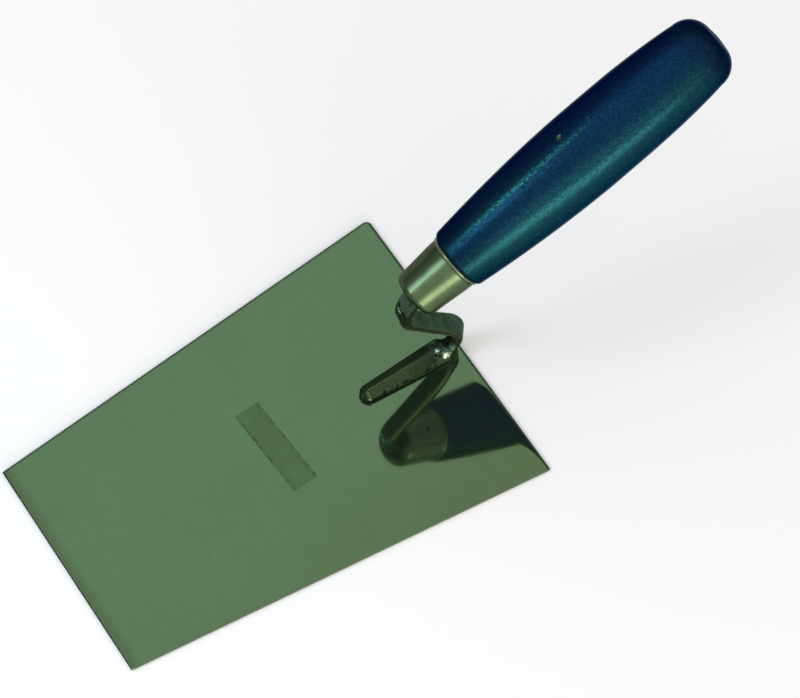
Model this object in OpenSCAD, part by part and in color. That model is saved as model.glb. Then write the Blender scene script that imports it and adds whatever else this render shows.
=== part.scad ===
// Brick trowel: trapezoid steel blade, forged square neck, conical ferrule and turned wooden handle.
// Origin at the centre of the blade's underside. +X towards the blade's front edge, +Z up. Millimetres.

/* [Blade] */
// Length of the blade, from its rear edge to its front edge
blade_l = 180; // [140:1:240]
// Width of the blade at its rear edge
blade_rear_w = 129.5; // [100:0.5:170]
// Width of the blade at its front edge
blade_front_w = 95; // [70:0.5:130]
// Thickness of the blade sheet
blade_t = 1.5; // [0.8:0.1:3]
// Corner radius of the blade's rear corner on the -Y side
blade_rear_corner_r = 2.4; // [0.5:0.1:8]
// Corner radius of the blade's other three corners
blade_corner_r = 0.7; // [0.3:0.1:8]

/* [Neck] */
// Side of the foot's square bar at its heel, where the rear bend starts
foot_heel = 8.2; // [6.5:0.1:10]
// Side of the foot's square bar at its toe
foot_toe = 5.2; // [4.5:0.1:7]
// Turn of the foot's bar about its own length, which leaves one edge uppermost
foot_roll = 51; // [40:1:58]
// Radius along the foot's long edges
foot_edge_r = 1; // [0.5:0.1:1.4]
// Distance of the toe from the blade's rear edge
foot_reach = 46.4; // [38:0.2:70]
// Height of the foot's centre line over the blade
foot_h = 2.5; // [2:0.1:3]
// Length over which the toe is rounded
toe_round = 3; // [1.5:0.1:5]
// Thickness of the flattened bar in the rear bend
rear_t = 3.6; // [3.4:0.1:6]
// Width of the flattened bar in the rear bend
rear_w = 8.6; // [7:0.1:11]
// Radius along the bar's edges in the rear bend
rear_edge_r = 1.6; // [0.5:0.1:1.7]
// Thickness of the bar at the foot of the sweep
sweep_t = 4.5; // [4.2:0.1:6]
// Width of the bar at the foot of the sweep
sweep_w = 9.3; // [7:0.1:11]
// Turn of the bar about its own length at the foot of the sweep
sweep_roll = 72; // [55:1:90]
// Radius along the bar's edges at the foot of the sweep
sweep_edge_r = 2; // [0.5:0.1:2.1]
// Thickness of the bar in the front bend
bend_t = 5.1; // [4.4:0.1:7]
// Width of the bar in the front bend
bend_w = 8.3; // [6.5:0.1:9]
// Turn of the bar about its own length in the front bend
bend_roll = 80; // [60:1:90]
// Radius along the bar's edges in the front bend
bend_edge_r = 2.1; // [0.8:0.1:2.2]
// How far behind the blade's rear edge the line of the sweep meets the line of the foot
sweep_root = 10.2; // [2:0.1:12]
// Angle of the straight sweep over the blade
sweep_angle = 52; // [45:0.1:70]
// Radius of the rear bend, at the bar's centre line
rear_bend_r = 7.8; // [7.2:0.1:12]
// Radius with which the rear bend runs out into the sweep
rear_ease_r = 31; // [8:0.5:36]
// Radius of the front bend, at the bar's centre line
front_bend_r = 14.5; // [9:0.1:16]
// Height of the crown, where the lines of the sweep and the tang cross, over the foot's centre line
crown_h = 60.6; // [50:0.1:80]
// Width of the tang at its tip
tang_tip = 4; // [3:0.1:5]
// Length of the tang, from the front of the ferrule to its tip
tang_l = 78; // [50:1:95]
// How far in front of the handle's spigot the front bend ends
tang_lead = 0.2; // [0.1:0.1:2]
// Sideways place of the neck and handle on the blade
neck_y = 0.5; // [-5:0.1:5]

/* [Weld] */
// Leg of each weld bead along the blade
weld_leg = 1.6; // [0.8:0.1:2]
// How far each bead ends short of the toe's rounded stretch and of the heel
weld_inset = 2; // [0.5:0.1:5]

/* [Ferrule] */
// Length of the ferrule
ferrule_l = 21.9; // [16:0.1:35]
// Outside diameter of the ferrule at its rear rim
ferrule_rear_d = 22.6; // [20:0.1:27]
// Outside diameter that the ferrule's cone would have at its front
ferrule_front_d = 18.8; // [17:0.1:22]
// Wall of the ferrule
ferrule_t = 0.8; // [0.5:0.1:1.2]
// Outside radius of the ferrule's rounded front edge
ferrule_lip_r = 2.8; // [1.5:0.1:4]
// Clearance all round the neck in the hole in the ferrule's front
ferrule_hole_gap = 1.3; // [0.8:0.1:2]
// Distance of the ring groove from the ferrule's rear rim
groove_back = 1.5; // [0.8:0.1:4]
// Width of the ring groove
groove_w = 0.5; // [0.3:0.1:1]
// Depth of the ring groove
groove_depth = 0.2; // [0.1:0.05:0.3]
// Distance of the punched stake mark from the ferrule's rear rim
stake_back = 9.5; // [6:0.1:12]
// Radius of the punch that made the stake mark
stake_r = 1.4; // [0.8:0.1:2]
// Depth of the stake mark
stake_depth = 0.5; // [0.2:0.05:0.7]
// How far round the ferrule the stake mark is from its lowest line
stake_turn = 13; // [-60:1:60]

/* [Handle] */
// Tilt of the handle over the blade
handle_tilt = 30.4; // [15:0.1:45]
// Length of the handle behind the ferrule
handle_l = 126; // [100:1:160]
// Diameter of the handle at its front shoulder
handle_front_d = 24.7; // [24:0.1:29]
// Largest diameter of the handle
handle_belly_d = 33; // [30:0.1:40]
// Distance of the largest diameter from the front shoulder
handle_belly_s = 64.3; // [45:0.1:80]
// Diameter of the handle where its end rounding starts
handle_end_d = 28.3; // [24:0.1:30]
// Radius of the rounding round the handle's end
handle_end_r = 9.4; // [3:0.1:11]
// Height of the shallow dome over the handle's end face
handle_dome = 0.4; // [0.1:0.1:3]
// Radius of the front shoulder's edge
handle_shoulder_r = 0.6; // [0.2:0.05:0.8]
// How far short of the ferrule's rounded front edge the handle's spigot ends
spigot_gap = 1.9; // [1:0.1:6]
// Clearance between handle, ferrule and tang
handle_fit = 0.05; // [0.02:0.01:0.2]
// How far the bore runs on past the tang's tip
bore_spare = 2; // [0.5:0.5:10]

/* [Label] */
// Size of the label along the blade
label_w = 11; // [6:0.5:30]
// Size of the label across the blade
label_l = 39; // [20:0.5:60]
// Thickness of the label film
label_t = 0.12; // [0.05:0.01:0.3]
// Distance of the label's centre from the blade's rear edge
label_x = 85.3; // [75:0.1:120]
// Sideways place of the label's centre
label_y = -0.4; // [-15:0.1:15]
// Turn of the label on the blade
label_turn = 3.9; // [-30:0.1:30]
// Corner radius of the label
label_corner_r = 0.8; // [0.2:0.1:3]

/* [Hidden] */

// Points in each corner of the bar's section, and rings along each stretch of the neck
corner_points = 5;
toe_rings = 6;
foot_rings = 6;
rear_rings = 26;
sweep_rings = 10;
front_rings = 18;
tang_rings = 5;
// Steps in each half of the handle's belly and in each rounded edge
belly_steps = 20;
round_steps = 10;
lathe_fn = 96;

// How sharply the handle's belly falls off towards its front and its end
front_fall = 1.85;
end_fall = 2.9;
// Share of the rear bend's turn over which the square bar flattens, and after which the bend eases
flatten_to = 0.22;
ease_from = 0.81;
// Where the bar turns from the rear bend's section to the sweep's, as shares of the rear bend's length
twist_from = 0.73;
twist_to = 1.25;
// The rear bend has left the blade once its bar leans further than this from the foot
land_lean = 72;
// Least inside radius of the ferrule's front edge
lip_inside_r = 0.2;

rear_x = -blade_l / 2;
sweep_dir = [cos(sweep_angle), sin(sweep_angle)];
axis_dir = [-cos(handle_tilt), sin(handle_tilt)];

// The neck's bends, in its own plane, as [x, z]
foot_z = blade_t + foot_h;
root = [rear_x - sweep_root, foot_z];
crown = root + sweep_dir * crown_h / sin(sweep_angle);
rear_turn = 180 - sweep_angle;
front_turn = 180 - handle_tilt - sweep_angle;
front_leg = front_bend_r * tan(front_turn / 2);
// The rear bend's two arcs: the turn of the first, and how far both run ahead along the foot and aside
ease_turn = ease_from * rear_turn;
rear_ahead = rear_bend_r * sin(ease_turn) + rear_ease_r * (sin(rear_turn) - sin(ease_turn));
rear_aside = rear_bend_r * (1 - cos(ease_turn)) + rear_ease_r * (cos(ease_turn) - cos(rear_turn));
heel = root + [rear_ahead - rear_aside / tan(rear_turn), 0];
sweep_start = root + sweep_dir * rear_aside / sin(rear_turn);
sweep_end = crown - sweep_dir * front_leg;
bend_end = crown + axis_dir * front_leg;
toe_x = rear_x + foot_reach;
foot_front_x = toe_x - toe_round;

// The handle's axis: the ferrule's front, the rim between ferrule and handle, and the tang's tip
spigot_short = ferrule_lip_r + spigot_gap;
bend_tuck = spigot_short - tang_lead;
ferrule_front = bend_end - axis_dir * bend_tuck;
rim = ferrule_front + axis_dir * ferrule_l;

function mix(a, b, t) = a + (b - a) * t;

function smooth(t) = t * t * (3 - 2 * t);

// The bar at one place is [thickness, width, turn about its own length, radius of its edges]
rear_bar = [rear_t, rear_w, foot_roll, rear_edge_r];
sweep_bar = [sweep_t, sweep_w, sweep_roll, sweep_edge_r];
bend_bar = [bend_t, bend_w, bend_roll, bend_edge_r];

// The bar with its sides and edges scaled
function shrunk(bar, k) = [bar[0] * k, bar[1] * k, bar[2], bar[3] * k];

// Farthest reach of the bar's rounded edges from its centre line
function edge_reach(bar) = norm([bar[0] / 2 - bar[3], bar[1] / 2 - bar[3]]) + bar[3];

function foot_side(x) = mix(foot_heel, foot_toe, (x - heel[0]) / (toe_x - heel[0]));

function foot_bar(x) = [foot_side(x), foot_side(x), foot_roll, foot_edge_r];

// The tang's bar at a distance behind the ferrule's front
function tang_bar(back) =
    shrunk(bend_bar, mix(1, tang_tip / bend_w, (back - bend_tuck) / (tang_l - bend_tuck)));

// One station of the neck: its centre [x, z], its heading over +X in degrees, and its bar
function station(at, heading, bar) = [at, heading, bar];

// A point on a bend that starts at `from` with a heading, after turning by `turn` to one side (+1 or -1)
function on_bend(from, heading, radius, turn, hand) =
    from + radius * (sin(turn) * [cos(heading), sin(heading)]
                     + hand * (1 - cos(turn)) * [-sin(heading), cos(heading)]);

// How full the rounded toe is, from its tip (0) to its full section (1)
function toe_fullness(t) = sqrt(1 - pow(1 - t, 2));

function foot_station(x) = station([x, foot_z], 180, foot_bar(x));

toe_stations = [for (i = [1:toe_rings])
    let (t = pow(i / toe_rings, 2), x = mix(toe_x, foot_front_x, t), f = toe_fullness(t))
    station([x, blade_t + foot_h * f], 180, shrunk(foot_bar(x), f))];

foot_stations = [for (i = [1:foot_rings]) foot_station(mix(foot_front_x, heel[0], i / foot_rings))];

// A point on the rear bend after a turn, and its distance along the neck from the heel
ease_start = on_bend(heel, 180, rear_bend_r, ease_turn, -1);

function on_rear_bend(turn) =
    turn < ease_turn ? on_bend(heel, 180, rear_bend_r, turn, -1)
                     : on_bend(ease_start, 180 - ease_turn, rear_ease_r, turn - ease_turn, -1);

function rear_along(turn) =
    (rear_bend_r * min(turn, ease_turn) + rear_ease_r * max(0, turn - ease_turn)) * PI / 180;

// How far the bar has changed from its section in the rear bend (0) to that of the sweep (1)
function twist(along) =
    smooth(min(1, max(0, along / rear_along(rear_turn) - twist_from) / (twist_to - twist_from)));

function twisted(bar, along) = mix(bar, sweep_bar, twist(along));

rear_stations = [for (i = [1:rear_rings])
    let (turn = rear_turn * i / rear_rings, flat = smooth(min(1, i / rear_rings / flatten_to)))
    station(on_rear_bend(turn), 180 - turn, twisted(mix(foot_bar(heel[0]), rear_bar, flat), rear_along(turn)))];

sweep_stations = [for (i = [1:sweep_rings - 1])
    let (t = i / sweep_rings,
         at = mix(sweep_start, sweep_end, t),
         along = rear_along(rear_turn) + norm(at - sweep_start))
    station(at, sweep_angle, mix(twisted(rear_bar, along), bend_bar, t))];

front_stations = [for (i = [0:front_rings])
    let (turn = front_turn * i / front_rings)
    station(on_bend(sweep_end, sweep_angle, front_bend_r, turn, 1), sweep_angle + turn, bend_bar)];

tang_stations = [for (i = [1:tang_rings])
    let (back = mix(bend_tuck, tang_l, i / tang_rings))
    station(ferrule_front + axis_dir * back, 180 - handle_tilt, tang_bar(back))];

neck_stations = concat(toe_stations, foot_stations, rear_stations,
                       sweep_stations, front_stations, tang_stations);

// How far a station's lowest edge would reach below the top of the blade
function sink(st) =
    let (bar = st[2], lean = 180 - st[1], reach = (bar[0] * sin(bar[2]) + bar[1] * cos(bar[2])) / 2)
    lean < land_lean ? reach - (st[0][1] - blade_t) / cos(lean) : 0;

// Ends of the flat that the blade leaves of the lowest edge, on the bar's near face and on its far face
function land_near(st) = [st[2][0] / 2, sink(st) / cos(st[2][2]) - st[2][1] / 2];
function land_far(st) = [st[2][0] / 2 - sink(st) / sin(st[2][2]), -st[2][1] / 2];

// The section of the bar in its own square axes: three rounded edges, and a flat or a fourth at its lowest
function section(st) =
    let (bar = st[2],
         r = bar[3],
         steps = corner_points - 1,
         arc = function (px, py, a0) [for (k = [0:steps])
             let (a = a0 + 90 * k / steps)
             [px * (bar[0] / 2 - r) + r * cos(a), py * (bar[1] / 2 - r) + r * sin(a)]],
         flat = sink(st) > r * min(cos(bar[2]), sin(bar[2])))
    concat(arc(1, 1, 0), arc(-1, 1, 90), arc(-1, -1, 180),
           flat ? [for (k = [0:steps]) mix(land_far(st), land_near(st), k / steps)] : arc(1, -1, 270));

// A point of a section, turned by the bar's roll and set at its station, on or above the blade
function placed(st, q) =
    let (c = cos(st[2][2]), s = sin(st[2][2]), side = q[0] * c + q[1] * s, over = q[1] * c - q[0] * s)
    [st[0][0] + over * sin(st[1]), neck_y + side, max(blade_t, st[0][1] - over * cos(st[1]))];

function middle(ring) = [for (p = ring) 1] * ring / len(ring);

// A closed solid through rings of equal length, each end closed by a fan round its middle
module skin(rings) {
    n = len(rings[0]);
    last = len(rings) - 1;
    start_point = len(rings) * n;
    end_point = start_point + 1;
    sides = [for (i = [0:last - 1], k = [0:n - 1])
        let (a = i * n + k, b = i * n + (k + 1) % n)
        each [[a, b, a + n], [b, b + n, a + n]]];
    start_fan = [for (k = [0:n - 1]) [start_point, (k + 1) % n, k]];
    end_fan = [for (k = [0:n - 1]) [end_point, last * n + k, last * n + (k + 1) % n]];
    polyhedron(concat([for (r = rings) each r], [middle(rings[0]), middle(rings[last])]),
               concat(start_fan, sides, end_fan));
}

// Puts a turned piece on the handle's axis, with its z = 0 at the rim between ferrule and handle
module on_axis() {
    translate([rim[0], neck_y, rim[1]])
        rotate([0, handle_tilt - 90, 0])
            children();
}

// Points of a corner arc round a centre
function corner(x, y, r, a0, a1) = [for (k = [0:round_steps])
    let (a = mix(a0, a1, k / round_steps))
    [x + r * cos(a), y + r * sin(a)]];

// Blade: a trapezoid with rounded corners
edge_slant = atan2((blade_rear_w - blade_front_w) / 2, blade_l);

// Where the arc of a corner of radius r, centred at x, touches the slanted edge
function corner_y(x, r) = blade_rear_w / 2 - (x - rear_x) * tan(edge_slant) - r / cos(edge_slant);

module blade() {
    r = blade_corner_r;
    far_r = blade_rear_corner_r;
    front_x = blade_l / 2 - r;
    side_a = 90 - edge_slant;
    color("#5f7d5f")
        linear_extrude(blade_t)
            polygon(concat(
                corner(front_x, corner_y(front_x, r), r, 0, side_a),
                corner(rear_x + r, corner_y(rear_x + r, r), r, side_a, 180),
                corner(rear_x + far_r, -corner_y(rear_x + far_r, far_r), far_r, 180, 360 - side_a),
                corner(front_x, -corner_y(front_x, r), r, 360 - side_a, 360)));
}

module neck() {
    color("#3c4f45")
        skin([for (st = neck_stations) [for (q = section(st)) placed(st, q)]]);
}

// Weld: one bead in each crevice beside the foot, from the flat's edge out along the blade and up the bar
weld_from = foot_front_x - weld_inset;
weld_to = heel[0] + weld_inset;
weld_stations = [for (i = [0:foot_rings]) foot_station(mix(weld_from, weld_to, i / foot_rings))];

// Ring of the bead under the bar's +Y face (near) or its -Y face
function bead_ring(st, near) =
    let (flat = near ? land_near(st) : land_far(st),
         up = near ? flat + [0, weld_leg] : flat - [weld_leg, 0],
         a = placed(st, flat),
         b = placed(st, up),
         c = a + [0, (near ? 1 : -1) * weld_leg, 0])
    near ? [a, b, c] : [a, c, b];

module foot_weld() {
    color("#4a5a50")
        for (near = [true, false])
            skin([for (st = weld_stations) bead_ring(st, near)]);
}

// Ferrule: outside radius of its cone at a distance s behind the rim (negative towards its front)
function ferrule_r(s) = mix(ferrule_rear_d, ferrule_front_d, -s / ferrule_l) / 2;

cone_a = atan2((ferrule_rear_d - ferrule_front_d) / 2, ferrule_l);
hole_r = edge_reach(bend_bar) + ferrule_hole_gap;

// The cup's front, set in from its outside by `in`: from the hole's edge round to the start of the cone
function cup_front(in) =
    let (r = max(lip_inside_r, ferrule_lip_r - in),
         z = in + r - ferrule_l,
         x = ferrule_r(z) - (in + r) / cos(cone_a))
    concat([[hole_r, in - ferrule_l]], corner(x, z, r, -90, -cone_a));

function reversed(list) = [for (i = [len(list) - 1:-1:0]) list[i]];

// The ring groove's outline in the cone
groove_from = -groove_back - groove_w / 2;
groove_to = groove_from + groove_w;
groove_r = ferrule_r(-groove_back) - groove_depth;
groove = [[ferrule_r(groove_from), groove_from], [groove_r, groove_from],
          [groove_r, groove_to], [ferrule_r(groove_to), groove_to]];

module ferrule() {
    rear_r = ferrule_r(0);
    stake_reach = ferrule_r(-stake_back) + stake_r - stake_depth;
    color("#9a9c78")
        on_axis()
            difference() {
                rotate_extrude($fn = lathe_fn)
                    polygon(concat(cup_front(0), groove, [[rear_r, 0], [rear_r - ferrule_t / cos(cone_a), 0]],
                                   reversed(cup_front(ferrule_t))));
                rotate([0, 0, 180 - stake_turn])
                    translate([stake_reach, 0, -stake_back])
                        sphere(r = stake_r, $fn = lathe_fn / 2);
            }
}

// Handle: radius of its body at a distance s behind the rim
end_start = handle_l - handle_end_r;

function body_r(s) =
    s < handle_belly_s
    ? mix(handle_belly_d, handle_front_d, pow(1 - s / handle_belly_s, front_fall)) / 2
    : mix(handle_belly_d, handle_end_d,
          pow((s - handle_belly_s) / (end_start - handle_belly_s), end_fall)) / 2;

// Points along the body between two distances
function body_points(from, to) = [for (i = [1:belly_steps - 1])
    let (s = mix(from, to, i / belly_steps))
    [body_r(s), s]];

spigot_front = spigot_short - ferrule_l;

// Radius of the spigot, inside the ferrule
function spigot_r(s) = ferrule_r(s) - (ferrule_t + handle_fit) / cos(cone_a);

// Bore for the tang: a cone round its edges, then a short drilled end
tang_tip_s = tang_l - ferrule_l;
bore_tip_r = edge_reach(tang_bar(tang_l)) + handle_fit;
bore_mouth_r = edge_reach(tang_bar(spigot_short)) + handle_fit;
bore_end = tang_tip_s + bore_spare;

handle_outline = concat(
    [[bore_mouth_r, spigot_front], [spigot_r(spigot_front), spigot_front], [spigot_r(0), 0]],
    corner(body_r(handle_shoulder_r) - handle_shoulder_r, handle_shoulder_r, handle_shoulder_r, -90, 0),
    body_points(handle_shoulder_r, handle_belly_s),
    [[handle_belly_d / 2, handle_belly_s]],
    body_points(handle_belly_s, end_start),
    corner(body_r(end_start) - handle_end_r, end_start, handle_end_r, 0, 90),
    [[0, handle_l + handle_dome], [0, bore_end], [bore_tip_r, bore_end], [bore_tip_r, tang_tip_s]]);

module handle() {
    color("#123a66")
        on_axis()
            rotate_extrude($fn = lathe_fn)
                polygon(handle_outline);
}

// Label: a thin film with rounded corners on the blade
module label() {
    x = label_w / 2 - label_corner_r;
    y = label_l / 2 - label_corner_r;
    r = label_corner_r;
    color("#7d8b7d")
        translate([rear_x + label_x, label_y, blade_t])
            rotate([0, 0, label_turn])
                linear_extrude(label_t)
                    polygon(concat(corner(x, y, r, 0, 90), corner(-x, y, r, 90, 180),
                                   corner(-x, -y, r, 180, 270), corner(x, -y, r, 270, 360)));
}

blade();
neck();
foot_weld();
ferrule();
handle();
label();
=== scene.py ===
from math import atan2, cos, exp, hypot, pi, radians, sin, sqrt, tan

import bmesh
import bpy
from mathutils import Matrix, Vector, noise


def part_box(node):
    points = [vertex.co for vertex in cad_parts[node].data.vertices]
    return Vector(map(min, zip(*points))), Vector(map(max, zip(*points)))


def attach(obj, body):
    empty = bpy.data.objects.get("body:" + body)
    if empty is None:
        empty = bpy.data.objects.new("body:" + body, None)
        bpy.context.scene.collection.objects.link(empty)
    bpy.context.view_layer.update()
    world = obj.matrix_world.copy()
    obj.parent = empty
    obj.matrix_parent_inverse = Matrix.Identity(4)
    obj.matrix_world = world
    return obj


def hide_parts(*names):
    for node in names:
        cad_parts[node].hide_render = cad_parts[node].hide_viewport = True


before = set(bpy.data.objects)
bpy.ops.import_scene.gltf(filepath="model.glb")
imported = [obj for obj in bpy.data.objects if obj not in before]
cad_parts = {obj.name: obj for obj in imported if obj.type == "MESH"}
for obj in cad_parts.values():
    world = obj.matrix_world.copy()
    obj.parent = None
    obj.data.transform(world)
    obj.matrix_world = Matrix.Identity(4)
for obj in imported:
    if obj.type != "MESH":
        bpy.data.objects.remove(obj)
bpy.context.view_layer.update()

# Shapes are worked out in millimetres in the frame of the solids, and turned into metres by piece()
MM = 0.001

# Blade
blade_low, blade_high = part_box("blade")
REAR_X = blade_low.x / MM
FRONT_X = blade_high.x / MM
BLADE_T = blade_high.z / MM
BLADE_REAR_W = 129.5
BLADE_FRONT_W = 95
REAR_CORNER_R = 2.4
CORNER_R = 0.4
LOW_EDGE_R = 0.2
# Roll-offs of the polish and burrs along the edges, as (width, depth, how steeply it sets in). The far edge
# is the long one on the side of -Y.
ROLL_OFF = {"rear": ((4.4, 0.22, 2.5), (1.2, 0.2, 2.5)), "far": ((2.0, 0.09, 2.5), (1.4, 0.3, 2.5)),
            "front": ((0.45, 0.5, 1.3),)}
# Way over the blade along which its coat turns warmer, and where that starts and ends
WARM_WAY = (-0.35, 1, 0)
WARM_SPAN = (10, 90)
# Width of the dull strip along the front edge
GRIME_W = 5
# Width of the dark burr along the rear edge, darkened further as painted shade for the handle's dark
# reflection there
BURR_W = 1.2

# Neck: each bar is (thickness, width, turn about its own length, radius of its edges)
NECK_Y = 0.5
FOOT_HEEL = 8.2
FOOT_TOE = 5.2
FOOT_ROLL = 51
FOOT_EDGE_R = 1
FOOT_REACH = 46.4
FOOT_H = 2.5
TOE_ROUND = 3
REAR_BAR = (3.6, 8.6, FOOT_ROLL, 1.6)
SWEEP_BAR = (4.5, 9.3, 72, 2)
BEND_BAR = (5.1, 8.3, 80, 2.1)
SWEEP_ROOT = 10.2
SWEEP_ANGLE = radians(52)
REAR_BEND_R = 7.8
REAR_EASE_R = 31
FRONT_BEND_R = 14.5
CROWN_H = 60.6
TANG_TIP = 4
TANG_L = 78
TANG_LEAD = 0.2
# Share of the rear bend's turn over which the square bar flattens, and after which the bend eases
FLATTEN_TO = 0.22
EASE_FROM = 0.81
# Shares of the rear bend's length between which the bar turns to the sweep's roll
TWIST_FROM = 0.73
TWIST_TO = 1.25
# Lean of the rear bend up to which the blade flattens the bar's lowest edge
LAND_LEAN = radians(72)

# Weld
WELD_LEG = 1.6
WELD_INSET = 2

# Ferrule
FERRULE_L = 21.9
FERRULE_REAR_D = 22.6
FERRULE_FRONT_D = 18.8
FERRULE_T = 0.8
FERRULE_LIP_R = 2.8
HOLE_GAP = 1.3
HOLE_EDGE_R = 0.3
BEAD_W = 1.25
BEAD_H = 0.2
GROOVE_W = 0.5
GROOVE_DEPTH = 0.2
# The cone turns in a little before the groove
REAR_FALL = 0.16
REAR_FALL_L = 5
STAKE_BACK = 9.5
STAKE_R = 1.4
STAKE_DEPTH = 0.5
STAKE_TURN = radians(167)
# Painted reflection tint under the ferrule, and painted highlights and shade all round it as (turn from the
# top, level or tint)
UNDER_REFLECTION_TINT = (2.1, 1.2, 2.8)
FERRULE_LIGHT_BY_TURN = [(-pi, UNDER_REFLECTION_TINT), (-2.8, (3, 1.7, 3.6)), (-2.3, (2, 1.3, 2.5)), (-1, 0.52), (-0.6, 0.6),
                  (-0.3, 0.95), (-0.1, 0.6), (0.02, 0.62), (0.14, 1.3), (0.3, 1.08), (0.42, 1.05), (0.5, 0.8),
                  (0.64, 1.08), (1.1, 1.05), (1.55, 0.82), (2, (3.7, 2.3, 4)), (2.65, UNDER_REFLECTION_TINT),
                  (pi, UNDER_REFLECTION_TINT)]

# Handle
TILT = radians(30.4)
HANDLE_L = 126
HANDLE_FRONT_D = 24.7
BELLY_D = 33
BELLY_S = 64.3
HANDLE_END_D = 28.3
HANDLE_END_R = 9.4
HANDLE_DOME = 0.4
SHOULDER_R = 1.8
SPIGOT_GAP = 1.9
HANDLE_FIT = 0.05
BORE_SPARE = 2
# Powers by which the handle falls from its belly to its front and to its end
FRONT_FALL = 1.85
END_FALL = 2.9

# Label
LABEL_W = 11
LABEL_L = 39
LABEL_T = 0.12
LABEL_X = 85.3
LABEL_Y = -0.4
LABEL_TURN = radians(3.9)
LABEL_AT = Vector((REAR_X + LABEL_X, LABEL_Y, BLADE_T))


def mix(a, b, t):
    return a + (b - a) * t


def smooth(t):
    t = min(1, max(0, t))
    return t * t * (3 - 2 * t)


def mix_bar(a, b, t):
    return tuple(mix(p, q, t) for p, q in zip(a, b))


def bump_at(point, centre, radius):
    """Height of a round bump of height 1 at a centre, as a bell curve."""
    return exp(-((point - Vector(centre)).length / radius) ** 2)


def set_stops(ramp, stops):
    """Fills a colour ramp. Each stop is (place, grey level or colour)."""
    while len(ramp.elements) < len(stops):
        ramp.elements.new(0.5)
    for element, (place, colour) in zip(ramp.elements, stops):
        element.position = place
        element.color = (*colour, 1) if isinstance(colour, tuple) else (colour, colour, colour, 1)


class Shader:
    """A Principled material, with short ways to add and join its nodes."""

    def __init__(self, name, sockets):
        self.material = bpy.data.materials.new(name)
        self.material.use_nodes = True
        self.tree = self.material.node_tree
        self.bsdf = self.tree.nodes["Principled BSDF"]
        self.set(self.bsdf, sockets)

    def set(self, node, sockets):
        """Links or sets inputs of a node, each given by its name or number."""
        for name, value in sockets.items():
            if isinstance(value, bpy.types.NodeSocket):
                self.tree.links.new(value, node.inputs[name])
            else:
                node.inputs[name].default_value = value

    def node(self, kind, sockets=None, **settings):
        made = self.tree.nodes.new("ShaderNode" + kind)
        for name, value in settings.items():
            setattr(made, name, value)
        self.set(made, sockets or {})
        return made

    def coords(self):
        """The place on the piece, in metres in the frame of the solids."""
        return self.node("TexCoord").outputs["Object"]

    def split(self, vector):
        return self.node("SeparateXYZ", {"Vector": vector}).outputs

    def facing(self):
        """The way that the surface faces, as X, Y and Z in the frame of the solids."""
        return self.split(self.node("TexCoord").outputs["Normal"])

    def scaled(self, vector, scale, turn=(0, 0, 0)):
        return self.node("Mapping", {"Vector": vector, "Scale": scale, "Rotation": turn}).outputs[0]

    def noise(self, vector, scale, detail=4, roughness=0.5, distortion=0):
        return self.node("TexNoise", {"Vector": vector, "Scale": scale, "Detail": detail,
                                      "Roughness": roughness, "Distortion": distortion}).outputs[0]

    def ramp(self, value, stops):
        """A colour ramp. Each stop is (place, grey level or colour)."""
        made = self.node("ValToRGB", {"Fac": value})
        set_stops(made.color_ramp, stops)
        return made.outputs[0]

    def blend(self, share, a, b, kind="MIX"):
        """Colour a turned into colour b by a share."""
        a, b = [(*colour, 1) if isinstance(colour, tuple) else colour for colour in (a, b)]
        return self.node("Mix", {0: share, 6: a, 7: b}, data_type="RGBA", blend_type=kind).outputs[2]

    def tint(self, share, colour, by):
        """A colour multiplied by another one, as far as a share says."""
        return self.blend(share, colour, by, "MULTIPLY")

    def math(self, operation, a, b=0):
        return self.node("Math", {0: a, 1: b}, operation=operation).outputs[0]

    def times(self, value, *others):
        """The product of several values."""
        for other in others:
            value = self.math("MULTIPLY", value, other)
        return value

    def vector_math(self, operation, a, b):
        return self.node("VectorMath", {0: a, 1: b}, operation=operation).outputs

    def within(self, value, low, high):
        """0 below a low value, rising to 1 at a high one. The low one may be the larger."""
        return self.node("MapRange", {"Value": value, "From Min": low, "From Max": high}).outputs[0]

    def between(self, value, low, high):
        """The same for places in millimetres."""
        return self.within(value, low * MM, high * MM)

    def near(self, vector, centre, radius):
        """1 within a radius in millimetres of a centre, falling to 0 at half as far again."""
        away = self.vector_math("DISTANCE", vector, Vector(centre) * MM)["Value"]
        return self.within(away, radius * MM * 1.5, radius * MM)

    def bump(self, height, strength, distance, under=None):
        """A bump of a depth in millimetres, on top of another one if that is given."""
        sockets = {"Height": height, "Strength": strength, "Distance": distance * MM}
        if under:
            sockets["Normal"] = under
        return self.node("Bump", sockets).outputs[0]

    def finish(self, colour, roughness, normal):
        self.set(self.bsdf, {"Base Color": colour, "Roughness": roughness, "Normal": normal})
        return self.material


def axis_coords(mat):
    """Coordinates about the handle's axis: round it as a turn in radians, and along it in metres."""
    moved = mat.vector_math("SUBTRACT", mat.coords(), RIM * MM)[0]
    turned = mat.node("VectorRotate", {"Vector": moved, "Axis": (0, 1, 0), "Angle": pi / 2 - TILT})
    parts = mat.split(turned.outputs[0])
    return mat.math("ARCTAN2", parts["Y"], parts["X"]), parts["Z"]


def unrolled(mat, turn, along, round_scale, along_scale):
    """A place on a surface about the handle's axis as if it were unrolled, scaled round it and along it."""
    return mat.node("CombineXYZ", {"X": mat.times(turn, round_scale),
                                   "Y": mat.times(along, along_scale)}).outputs[0]


def by_turn(mat, turn, stops):
    """A colour ramp round the handle's axis. Each stop is (turn in radians, grey level or colour)."""
    return mat.ramp(mat.within(turn, -pi, pi), [(0.5 + at / (2 * pi), shade) for at, shade in stops])


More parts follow.
